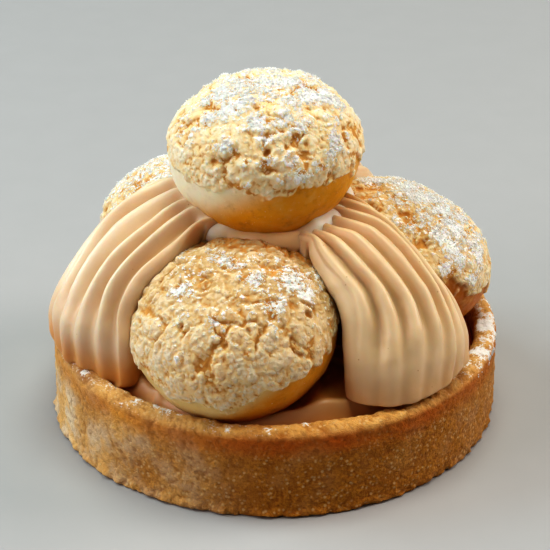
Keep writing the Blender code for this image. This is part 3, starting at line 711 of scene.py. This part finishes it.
def make_ribbon(name, ribs, node, material, depth, sharp, shift, foot, tip_length, tan, rolls,
                shade, seed):
    """A tongue of cream: a face through the crests of its ribs, with rolled edges and foot.

    sharp narrows the grooves and shift moves them to one side by a share of their spacing.
    foot is the share of them left at the foot, which is rounded over tip_length, and tan is
    how much painted shade the grooves take. rolls are how far the edges reach beyond the first
    and the last rib, and shade is how much painted shade those edges take.
    """
    crests = np.stack([spline(rib, RIBBON_STATIONS) for rib in ribs])  # rib, station, xyz
    for _ in range(2):
        crests[:, 1:-1] = (crests[:, :-2] + 2 * crests[:, 1:-1] + crests[:, 2:]) / 4
    count = len(ribs)
    padded = np.concatenate([[2 * crests[0] - crests[1]], crests, [2 * crests[-1] - crests[-2]]])
    across = np.linspace(0.0, count - 1, (count - 1) * POINTS_PER_RIB + 1)
    face = []
    for value in across:
        index = min(count - 2, int(value))
        face.append(catmull(*padded[index : index + 4], value - index))
    face = np.stack(face)  # across, station, xyz
    along = unit(np.gradient(face, axis=1))
    side = unit(np.gradient(face, axis=0))
    normal = unit(np.cross(along, side))
    outward = face.reshape(-1, 3).mean(axis=0) * np.array([1.0, 1.0, 0.5])
    if (normal.mean(axis=(0, 1)) * outward).sum() < 0:
        normal = -normal
    share = np.linspace(0.0, 1.0, RIBBON_STATIONS)
    groove = (0.5 - 0.5 * np.cos(2 * math.pi * (across - shift))) ** sharp
    full = smooth_step(0.0, 0.13, share) * blend(1.0, foot, smooth_step(0.60, 0.90, share))
    valley = groove[:, None] * full[None, :]
    spacing = np.linalg.norm(np.gradient(face, axis=0), axis=2) * POINTS_PER_RIB
    sunk = np.minimum(depth, 0.6 * spacing) * valley
    face = face - normal * sunk[..., None]
    valley *= tan
    rows = []
    for end, sign, reach in ((0, -1.0, rolls[0]), (-1, 1.0, rolls[1])):
        rolled = (ROLL_START + (reach - ROLL_START) * smooth_step(0.05, 0.45, share))[:, None]
        edge = []
        for a in np.radians(np.linspace(8, 90, 9)):
            out = sign * side[end] * rolled * math.sin(a)
            edge.append(face[end] + out - normal[end] * rolled * (1 - math.cos(a)))
        edge += [edge[-1] - normal[end] * RIBBON_WALL * part for part in (0.15, 0.4, 0.7, 1.0)]
        rows.append(edge if end else edge[::-1])
    inner = [face[i] - normal[i] * (RIBBON_WALL + 1.5) for i in range(len(face) - 1, -1, -POINTS_PER_RIB)]
    ring = np.stack([*rows[0], *face, *rows[1], *inner])  # around, station, xyz
    marks = np.concatenate([np.full((len(rows[0]), RIBBON_STATIONS), shade), valley,
                            np.full((len(rows[1]) + len(inner), RIBBON_STATIONS), shade)])
    centre = ring.mean(axis=0)
    tip = []
    direction = unit(centre[-1] - centre[-6])
    for a in np.radians(np.linspace(10, 88, 10)):
        spread = 1.0 - (1.0 - math.cos(a)) * 0.55
        tip.append(centre[-1] + (ring[:, -1] - centre[-1]) * spread + direction * tip_length * math.sin(a))
    head = [centre[0] + (ring[:, 0] - centre[0]) * spread + np.array([0.0, 0.0, drop])
            for spread, drop in ((0.35, -3.5), (0.7, -1.6))]
    ring = np.concatenate([np.stack(head, axis=1), ring, np.stack(tip, axis=1)], axis=1)
    marks = np.concatenate([np.zeros((len(ring), 2)), marks, np.repeat(marks[:, -1:], len(tip), axis=1)], axis=1)
    around, long = ring.shape[:2]
    points = ring.transpose(1, 0, 2).reshape(-1, 3)
    valley = marks.T.ravel()
    faces = grid_faces(long, around, wrap=True).tolist()
    faces.append(list(range(around))[::-1])
    faces.append(list(range((long - 1) * around, long * around)))
    normal = unit(points - np.repeat(ring.mean(axis=0), around, axis=0))
    for i, point in enumerate(points):
        spot = Vector(point)
        wave = 0.16 * bumps(spot, 5.0, seed) + 0.07 * bumps(spot, 1.9)
        low = step(22.0, 17.5, spot.z)
        wave += low * 0.45 * noise.noise(Vector((spot.x, spot.y, spot.z * 0.4)) / 3.2 + Vector((0.0, seed, 0.0)))
        points[i] = point + normal[i] * wave
    # Painted shade, taken by the shaded colour: more towards the foot, most on the left tongue's foot, and a little
    # near the top
    left = smooth_step(10.0, -10.0, points[:, 0])
    low = (1.0 - smooth_step(16.0, 34.0, points[:, 2])) * (0.5 + 0.05 * left)
    low += 0.2 * smooth_step(33.0, 38.0, points[:, 2])
    low += (0.5 + 0.35 * left) * smooth_step(24.0, 17.5, points[:, 2])
    add_piece(name, points, faces, node, node, material, mixed=True, valley=valley, low=low)


def turned_grid(profile, sides):
    """Points and faces of a profile turned round Z."""
    angles = np.linspace(0.0, 2 * math.pi, sides, endpoint=False)
    profile = np.array(profile)
    radii = profile[:, :1]
    heights = np.repeat(profile[:, 1:], sides, axis=1)
    points = np.stack([radii * np.cos(angles), radii * np.sin(angles), heights], axis=-1)
    return points.reshape(-1, 3), grid_faces(len(profile), sides, wrap=True).tolist()


def dense(profile, spacing):
    """The profile with points no further apart than spacing."""
    result = []
    for (r0, z0), (r1, z1) in zip(profile, profile[1:]):
        count = max(1, int(math.hypot(r1 - r0, z1 - z0) / spacing))
        result += [(r0 + (r1 - r0) * i / count, z0 + (z1 - z0) * i / count) for i in range(count)]
    return result + [profile[-1]]


def arc(centre, radius, start, end, steps):
    angles = [math.radians(start + (end - start) * i / steps) for i in range(steps + 1)]
    return [(centre[0] + radius * math.cos(a), centre[1] + radius * math.sin(a)) for a in angles]


def make_core(material):
    """Smooth cream in the middle, with a rounded lip under the top chou, lowest in front."""
    profile = [(0.5, CORE_TOP)]
    profile += arc((CORE_LIP - CORE_ROUND, CORE_TOP - CORE_ROUND), CORE_ROUND, 90, -60, 24)
    profile += [(9.0, 34.0), (6.0, 30.0), (4.6, 26.0), (6.5, 16.0), (8.0, CORE_BOTTOM), (0.5, CORE_BOTTOM)]
    points, faces = turned_grid(dense(profile, 0.4), CORE_SIDES)
    brown = np.zeros(len(points))
    for i, point in enumerate(points):
        spot = Vector(point)
        out = Vector((spot.x, spot.y, 0.0)).normalized()
        upper = step(25.0, 38.0, spot.z)
        bearing = math.degrees(math.atan2(out.x, -out.y))
        front = step(-48.0, -25.0, bearing) * step(36.0, 16.0, bearing)
        bulge = step(-92.0, -66.0, bearing) * step(-34.0, -50.0, bearing)
        uneven = 0.4 * bumps(spot, 5.0) + 0.1 * bumps(spot, 1.6)
        spot += out * (uneven - 0.6 * front + 1.9 * bulge) * upper
        spot.z -= (2.0 * front + 1.2 * bulge) * upper + 0.15 * bumps(spot, 3.0)
        points[i] = spot
        # The front of the lip, in the top chou's shade, takes the shaded colour: painted shade
        brown[i] = front
    points[:, 1] -= 1.0
    add_piece("cream_middle", points, faces, "cream_core", "cream_core", material,
              valley=np.zeros(len(points)), low=brown)


# Shell and filling


def filling_height(radius, bearing):
    """Level of the filling: a ridge near the rim, and heaps in the gaps between the choux."""
    ridge = math.exp(-(((radius - RIDGE_RADIUS) / RIDGE_WIDTH) ** 2))
    level = FILLING_LEVEL + RIDGE_HEIGHT * ridge
    level -= EDGE_DROP * step(RIDGE_RADIUS, RIDGE_RADIUS + RIDGE_WIDTH, radius)
    gap = 1.0
    for chou in CHOUX[:-1]:
        away = abs((bearing - chou[1] + 180.0) % 360.0 - 180.0)
        gap *= step(GAP_START, GAP_FULL, away)
    slope = step(SHELL_RADIUS - SHELL_WALL, HEAP_RADIUS, radius)
    fold = 0.5 + 0.5 * math.cos(math.radians(bearing) * 24.0)
    return level + gap * slope * (HEAP_HEIGHT + 0.7 * fold) + 0.9 * cross_ridge(radius, bearing)


def cross_ridge(radius, bearing):
    """1 on the short ridge of filling that runs outward beside the front chou."""
    away = math.radians(bearing - CROSS_BEARING) * radius
    return math.exp(-((away / 0.7) ** 2)) * step(CROSS_START, CROSS_START + 2.0, radius)


def make_filling(material):
    """Cream in the shell: browner to the right and at the back (painted shade), pale on its ridges (painted
    highlight).
    """
    edge = SHELL_RADIUS - SHELL_WALL - 0.1
    profile = [(r, FILLING_LEVEL) for r in np.linspace(0.5, edge, FILLING_STATIONS)]
    profile += [(edge, 9.0), (edge, FILLING_BOTTOM), (0.5, FILLING_BOTTOM)]
    points, faces = turned_grid(profile, FILLING_SIDES)
    light = np.zeros(len(points))
    brown = np.maximum(0.60 + 0.34 * smooth_step(-5.0, 12.0, points[:, 0]),
                       0.8 * smooth_step(-8.0, 6.0, points[:, 1]))
    for i in np.flatnonzero(points[:, 2] == FILLING_LEVEL):
        spot = Vector(points[i])
        radius = math.hypot(*points[i, :2])
        bearing = math.degrees(math.atan2(points[i, 0], -points[i, 1]))
        swirl = 0.3 * math.sin(2.0 * math.radians(bearing) + radius * 0.25)
        points[i, 2] = filling_height(radius, bearing) + 0.25 * swirl + 0.25 * bumps(spot, 6.0)
        light[i] = max(math.exp(-(((radius - RIDGE_RADIUS) / 1.2) ** 2)), cross_ridge(radius, bearing))
    add_piece("caramel_bed", points, faces, "filling", "caramel_filling", material,
              valley=light, brown=brown)


def make_shell(material):
    """Shell of sandy shortcrust, with a worn rim and a crumbly foot."""
    inner = SHELL_RADIUS - SHELL_WALL
    rim = SHELL_HEIGHT
    fine = [(inner, SHELL_PLAIN), *arc((inner + 1.4, rim - 1.4), 1.4, 180, 90, 5),
            *arc((SHELL_RADIUS - 1.5, rim - 1.5), 1.5, 90, 0, 6),
            *arc((SHELL_RADIUS - 0.6, 0.65), 0.6, 0, -80, 3), (SHELL_RADIUS - 1.5, 0.02)]
    profile = [(0.5, SHELL_WALL), (18.0, SHELL_WALL), (inner, SHELL_WALL), *dense(fine, SHELL_SPACING),
               (20.0, 0.0), (0.5, 0.0)]
    points, faces = turned_grid(profile, SHELL_SIDES)
    relief = np.full(len(points), 0.6)
    toast, sugar, rims, pale = np.zeros((4, len(points)))
    drift = near_spots(points, SUGAR_DRIFTS["tart_shell"])
    for i, point in enumerate(points):
        x, y, z = point
        radius = math.hypot(x, y)
        if z < 0.015 or (radius < inner + 0.1 and z < SHELL_PLAIN - 0.1):
            continue
        spot = Vector(point)
        out = Vector((x / radius, y / radius, 0.0))
        far, near = noise.voronoi(spot + noise.noise_vector(spot / 1.1) * 0.25)
        sand = (1.0 - 1.2 * far[0] ** 2) * (0.6 + 0.8 * noise.noise(near[0] * 6.1))
        grit = bumps(spot, 0.55)
        broad = bumps(spot, 8.0)
        ragged = bumps(spot, 2.2, 0.0, 7.0) + 0.6 * bumps(spot, 1.0)
        foot = step(2.2, 0.3, z)
        top = step(rim - 1.7, rim - 0.4, z)
        bearing = math.degrees(math.atan2(x, -y))
        flare = foot * (0.6 * step(50.0, 5.0, bearing) * step(-150.0, -90.0, bearing) - 0.1)
        height = flare + 0.25 * broad + 0.22 * sand + 0.09 * grit - 0.10
        height += (0.10 + 0.62 * foot) * ragged
        spot += out * height * (1.0 - 0.4 * top) * (1.0 if radius > inner + 1.0 else -0.6)
        worn = 0.42 * bumps(spot, 6.5, 9.0)
        worn += 0.30 * ragged + 0.24 * sand + 0.10 * grit
        spot.z += top * (worn - 0.15)
        spot.z = max(0.0, spot.z + foot * 0.5 * max(0.0, ragged))
        points[i] = spot
        relief[i] = 0.6 * sand + 0.25 + 0.3 * grit + 0.15 * ragged
        outer = step(inner + 2.4, inner + 3.6, radius)
        rims[i] = top * (0.8 + 0.6 * ragged)
        toast[i] = outer * step(rim - 6.0, rim - 2.2, z) * step(rim + 0.6, rim - 1.4, z) * (0.75 + 0.6 * broad)
        # Painted light: the shell is paler on its left, where the key light falls, and a little on its right, than
        # in its shaded front; the noise in it adds random paler patches
        left = 0.62 * step(0.0, -34.0, bearing) + 0.38 * step(-45.0, -65.0, bearing)
        left *= step(-165.0, -110.0, bearing)
        right = step(30.0, 65.0, bearing) * step(165.0, 120.0, bearing)
        pale[i] = (left + 0.2 * right) * (0.95 + 0.8 * broad)
        pale[i] += 0.25 * max(0.0, bumps(spot, 5.0))
        heap = step(40.0, 75.0, bearing) * step(125.0, 100.0, bearing) * step(inner - 0.5, inner + 1.4, radius)
        clump = bumps(spot, 2.6, 1.0, 0.0, 5.0) + 0.5 * bumps(spot, 1.0)
        flecks = 0.24 * step(-100.0, -60.0, bearing) * step(20.0, -20.0, bearing)
        sugar[i] = top * (0.03 + flecks + 0.52 * heap + (0.36 + 0.3 * heap) * clump + 0.45 * drift[i])
        sugar[i] += heap * step(rim - 3.5, rim - 1.0, z) * (1 - top) * (0.25 + 0.5 * clump)
    return add_piece("shortcrust_shell", points, faces, "tart_shell", "shortcrust", material,
                     relief=relief, toast=toast, sugar=sugar, rim=rims, pale=pale)


# Sugar


def rotations(generator, count):
    """Random turns, evenly spread, as count 3 by 3 matrices."""
    w, x, y, z = unit(generator.normal(size=(count, 4))).T
    rows = ((1 - 2 * (y * y + z * z), 2 * (x * y - z * w), 2 * (x * z + y * w)),
            (2 * (x * y + z * w), 1 - 2 * (x * x + z * z), 2 * (y * z - x * w)),
            (2 * (x * z - y * w), 2 * (y * z + x * w), 1 - 2 * (x * x + y * y)))
    return np.array(rows).transpose(2, 0, 1)


def grain_shape():
    """Points and triangles of an eight-sided grain."""
    points = np.concatenate([np.eye(3), -np.eye(3)])
    faces = [
        (x, y, z) if (x < 3) + (y < 3) + (z < 3) in (1, 3) else (x, z, y)
        for x in (0, 3) for y in (1, 4) for z in (2, 5)
    ]
    return points, np.array(faces)


def make_sugar(pieces, material):
    """Grains and small clots of powdered sugar, thickest where the pieces' sugar is."""
    generator = np.random.default_rng(SUGAR_SEED)
    shape, triangles = grain_shape()
    places = []
    for piece, amount in pieces:
        mesh = piece.data
        spots = np.empty(len(mesh.vertices) * 3, np.float32)
        normals = np.empty_like(spots)
        mesh.vertices.foreach_get("co", spots)
        mesh.vertices.foreach_get("normal", normals)
        sugar = np.empty(len(mesh.vertices), np.float32)
        mesh.attributes["sugar"].data.foreach_get("value", sugar)
        spots = spots.reshape(-1, 3) / MM
        normals = normals.reshape(-1, 3)
        weight = smooth_step(0.22, 0.75, sugar) * smooth_step(-0.1, 0.5, normals[:, 2]) + 1e-9
        chosen = generator.choice(len(spots), amount, p=weight / weight.sum())
        jitter = generator.normal(scale=GRAIN_SCATTER, size=(amount, 3))
        jitter -= normals[chosen] * (jitter * normals[chosen]).sum(axis=1, keepdims=True)
        places.append(spots[chosen] + normals[chosen] * 0.03 + jitter)
    places = np.concatenate(places)
    count = len(places)
    radii = GRAIN_LEAST + GRAIN_SPREAD * generator.random((count, 1)) ** 2.0
    radii = radii * generator.uniform(0.65, 1.25, (count, 3))
    grains = (shape[None] * radii[:, None]) @ rotations(generator, count)
    points = (places[:, None] + grains).reshape(-1, 3)
    faces = (triangles[None] + len(shape) * np.arange(count)[:, None, None]).reshape(-1, 3)
    add_piece("sugar_grains", points, faces.tolist(), None, "chou_top_crust", material)


# Floor, lights and camera


def make_floor():
    mesh = bpy.data.meshes.new("floor")
    half = 3.0
    mesh.from_pydata([(-half, -half, 0), (half, -half, 0), (half, half, 0), (-half, half, 0)], [], [(0, 1, 2, 3)])
    shader = Shader("floor_pale", 0.6)
    grey = shader.mix(shader.noise(9.0), (0.40, 0.40, 0.405), (0.42, 0.42, 0.425))
    mesh.materials.append(shader.finish(grey))
    floor = add_object("floor", mesh)


def add_light(name, place, size, power, colour):
    """A round soft light that faces the tartlet."""
    light = bpy.data.lights.new(name, "AREA")
    light.shape = "DISK"
    light.size = size
    light.energy = power
    light.color = colour
    lamp = add_object(name, light)
    lamp.location = place
    lamp.rotation_euler = (Vector(LIT_PLACE) - Vector(place)).to_track_quat("-Z", "Y").to_euler()


def make_lights():
    add_light("key_window", (-0.62, 0.16, 0.55), 0.45, 3.15, (0.76, 0.92, 1.0))
    add_light("soft_top", (0.10, 0.05, 0.95), 0.6, 4.8, (0.96, 1.0, 0.90))
    add_light("soft_left", (-0.65, -0.35, 0.45), 0.5, 1.9, (1.0, 0.88, 0.87))
    add_light("soft_right", (0.70, 0.10, 0.50), 0.5, 3.2, (1.0, 0.89, 0.84))
    add_light("soft_front", (0.0, -0.80, 0.30), 0.6, 0.15, (1.0, 0.92, 0.84))
    world = bpy.data.worlds.new("studio")
    bpy.context.scene.world = world
    world.use_nodes = True
    back = world.node_tree.nodes["Background"]
    back.inputs["Color"].default_value = (1.0, 0.985, 0.96, 1.0)
    back.inputs["Strength"].default_value = 0.02


def make_camera():
    """Camera of the photograph, 404 mm from the shell's foot and 31 degrees above it."""
    camera = bpy.data.cameras.new("camera")
    camera.sensor_width = 36.0
    camera.lens = CAMERA_FOCAL * camera.sensor_width
    camera.clip_start = 0.01
    eye = add_object("camera", camera)
    eye.location = CAMERA_PLACE
    eye.rotation_euler = (math.radians(90.0 - CAMERA_DIP), 0.0, 0.0)
    bpy.context.scene.camera = eye


def main():
    noise.seed_set(NOISE_SEED)
    make_camera()
    make_lights()
    make_floor()
    bpy.context.scene.view_settings.view_transform = "Standard"
    bpy.context.scene.view_settings.look = "High Contrast"
    # One cream in three copies: the left paler where the key light falls and the middle paler still against the top
    # chou's shade, both painted light; each third colour is a painted shade colour
    cream_left = cream_material("piped_cream_left", (0.79, 0.66, 0.50), (0.85, 0.74, 0.57), (0.66, 0.27, 0.03))
    cream_right = cream_material("piped_cream_right", (0.75, 0.58, 0.37), (0.81, 0.64, 0.42))
    cream_middle = cream_material("piped_cream_middle", (0.96, 0.87, 0.72), (0.98, 0.90, 0.78), (0.90, 0.46, 0.07))
    shell = make_shell(shortcrust_material())
    make_filling(filling_material())
    crusts = {name: crust_material(name.replace("chou", "choux"), *colours)
              for name, colours in CHOU_COLOURS.items()}
    buns = {}
    for name, *sizes in CHOUX:
        buns[name] = make_chou(name, *sizes, *CHOU_LOOKS[name], crusts[name])
    make_ribbon("ribbon_right", RIGHT_RIBS, "cream_right", cream_right, depth=1.9, sharp=1.6, shift=0.24,
                foot=0.2, tip_length=1.1, tan=0.6, rolls=(2.8, 1.8), shade=0.12, seed=1.0)
    make_ribbon("ribbon_left", LEFT_RIBS, "cream_left", cream_left, depth=2.4, sharp=1.1, shift=-0.18,
                foot=0.35, tip_length=2.2, tan=0.85, rolls=(2.0, 1.8), shade=0.5, seed=5.0)
    turn = np.array(Matrix.Rotation(math.radians(BACK_TURN), 3, "Z"))
    back_ribs = [[turn @ np.array(point) for point in rib] for rib in RIGHT_RIBS]
    make_ribbon("ribbon_back", back_ribs, "cream_back", cream_right, depth=2.0, sharp=1.5, shift=0.2,
                foot=0.3, tip_length=1.5, tan=0.8, rolls=(2.2, 1.8), shade=0.35, seed=9.0)
    make_core(cream_middle)
    make_sugar([(buns["chou_top"], 8000), (buns["chou_right"], 6000), (buns["chou_left"], 4500),
                (buns["chou_front"], 2000), (shell, 4000)], sugar_material())


main()
